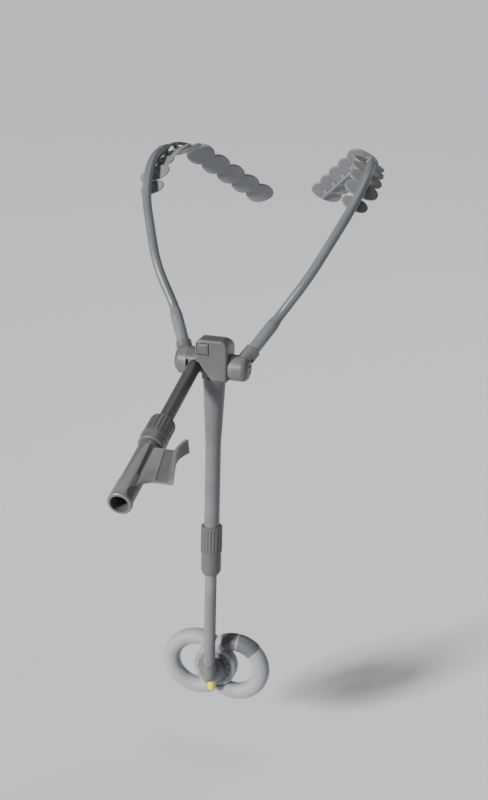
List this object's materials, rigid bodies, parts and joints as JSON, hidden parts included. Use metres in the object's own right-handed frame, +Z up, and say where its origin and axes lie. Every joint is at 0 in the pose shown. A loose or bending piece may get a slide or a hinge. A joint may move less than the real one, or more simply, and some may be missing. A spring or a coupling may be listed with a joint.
{
  "type": "trumpet holder",
  "caption": "Shoulder-worn trumpet holder: two hooked arms with padded rests on a hinged hub, a telescoping rod to a ring-shaped belly pad, and a front rod with a sliding cradle.",
  "frame": {"origin": "centre of the hub's axle, the point that the worn holder is set out from", "axes": "+X to the right as seen from the front, +Y to the back towards the wearer, +Z up along the belly rod"},
  "size_m": [0.2452, 0.5077, 0.5468],
  "materials": {
    "arm_plastic": "satin moulded grey",
    "hub_plastic": "satin moulded grey",
    "tube_plastic": "satin moulded grey",
    "collar_plastic": "satin moulded grey",
    "rod_plastic": "satin dark grey",
    "dark_plastic": "fine matte dark grey",
    "rest_plastic": "soft matte grey",
    "ring_foam": "soft light grey skin",
    "plate_plastic": "matte light grey",
    "cover_plastic": "smooth mid grey",
    "button_yellow": "bright yellow gloss",
    "steel": "plain turned steel"
  },
  "bodies": {
    "hub": {"hub_front_shell": "hub_plastic", "hub_rear_cover": "hub_plastic", "hub_screws": "steel", "hub_axle": "steel", "left_axle_cap": "hub_plastic", "right_axle_cap": "hub_plastic", "main_tube": "tube_plastic", "main_collet": "dark_plastic"},
    "lock_tab": {"lock_tab": "hub_plastic"},
    "left_barrel": {"left_barrel": "hub_plastic"},
    "left_arm": {"left_arm_tube": "arm_plastic", "left_arm_sleeve": "arm_plastic", "left_spine": "rest_plastic", "left_shoulder_pad_01": "rest_plastic", "left_shoulder_pad_02": "rest_plastic", "left_shoulder_pad_03": "rest_plastic", "left_shoulder_pad_04": "rest_plastic", "left_shoulder_pad_05": "rest_plastic", "left_shoulder_pad_06": "rest_plastic", "left_shoulder_pad_07": "rest_plastic", "left_shoulder_pad_08": "rest_plastic", "left_shoulder_pad_09": "rest_plastic", "left_shoulder_pad_10": "rest_plastic", "left_shoulder_pad_11": "rest_plastic"},
    "right_barrel": {"right_barrel": "hub_plastic"},
    "right_arm": {"right_arm_tube": "arm_plastic", "right_arm_sleeve": "arm_plastic", "right_spine": "rest_plastic", "right_shoulder_pad_01": "rest_plastic", "right_shoulder_pad_02": "rest_plastic", "right_shoulder_pad_03": "rest_plastic", "right_shoulder_pad_04": "rest_plastic", "right_shoulder_pad_05": "rest_plastic", "right_shoulder_pad_06": "rest_plastic", "right_shoulder_pad_07": "rest_plastic", "right_shoulder_pad_08": "rest_plastic", "right_shoulder_pad_09": "rest_plastic", "right_shoulder_pad_10": "rest_plastic", "right_shoulder_pad_11": "rest_plastic"},
    "trumpet_rod": {"trumpet_rod": "rod_plastic", "rod_end_plug": "rod_plastic"},
    "cradle": {"cradle_sleeve": "collar_plastic", "cradle_channel": "collar_plastic", "front_collet": "dark_plastic"},
    "front_nut": {"front_nut": "collar_plastic"},
    "main_nut": {"main_nut": "collar_plastic"},
    "lower_rod": {"lower_tube": "tube_plastic", "end_knob": "tube_plastic", "button_spring": "steel"},
    "release_button": {"release_button": "button_yellow"},
    "pad_socket": {"socket_ring": "dark_plastic"},
    "belly_pad": {"pad_plate": "plate_plastic", "left_pad_ring": "ring_foam", "right_pad_ring": "ring_foam", "ring_cover_upper": "cover_plastic", "ring_cover_side": "cover_plastic"}
  },
  "joints": [
    {"name": "left_arm_fold", "type": "hinge", "parent": "hub", "child": "left_barrel", "pos_m": [0, 0, 0], "axis": [1, 0, 0], "range_deg": [-25, 70]},
    {"name": "left_arm_swivel", "type": "hinge", "parent": "left_barrel", "child": "left_arm", "pos_m": [-0.027, 0, 0.002], "axis": [-0.4394, 0.5915, 0.676], "range_deg": [-6, 25]},
    {"name": "right_arm_fold", "type": "hinge", "parent": "hub", "child": "right_barrel", "pos_m": [0, 0, 0], "axis": [1, 0, 0], "range_deg": [-25, 70]},
    {"name": "right_arm_swivel", "type": "hinge", "parent": "right_barrel", "child": "right_arm", "pos_m": [0.027, 0, 0.002], "axis": [0.4394, 0.5915, 0.676], "range_deg": [-25, 6]},
    {"name": "trumpet_rod_tilt", "type": "hinge", "parent": "hub", "child": "trumpet_rod", "pos_m": [0, 0, 0], "axis": [1, 0, 0], "range_deg": [-2, 45]},
    {"name": "cradle_slide", "type": "slide", "parent": "trumpet_rod", "child": "cradle", "axis": [0, -0.9598, -0.2807], "range_m": [-0.018, 0.03]},
    {"name": "front_nut_turn", "type": "hinge", "parent": "cradle", "child": "front_nut", "pos_m": [-0.0173, -0.11518, -0.03368], "axis": [0, -0.9598, -0.2807], "range_deg": [0, 120]},
    {"name": "main_nut_turn", "type": "hinge", "parent": "hub", "child": "main_nut", "pos_m": [0, 0, -0.194], "axis": [0, 0, 1], "range_deg": [0, 120]},
    {"name": "lower_rod_slide", "type": "slide", "parent": "hub", "child": "lower_rod", "axis": [0, 0, -1], "range_m": [-0.07, 0.05]},
    {"name": "release_button_press", "type": "slide", "parent": "lower_rod", "child": "release_button", "axis": [0, 0, 1], "range_m": [0, 0.003], "stiffness_N_per_m": 300, "springref_m": -0.001, "deforming": ["button_spring"]},
    {"name": "lock_tab_press", "type": "slide", "parent": "hub", "child": "lock_tab", "axis": [0, 1, 0], "range_m": [0, 0.0012], "stiffness_N_per_m": 300, "springref_m": -0.0005},
    {"name": "pad_tilt", "type": "hinge", "parent": "lower_rod", "child": "pad_socket", "pos_m": [0, 0.0215, -0.336], "axis": [1, 0, 0], "range_deg": [-10, 10]},
    {"name": "pad_spin", "type": "hinge", "parent": "pad_socket", "child": "belly_pad", "pos_m": [0, 0.0215, -0.336], "axis": [0, 1, 0], "range_deg": [-30, 30]}
  ]
}
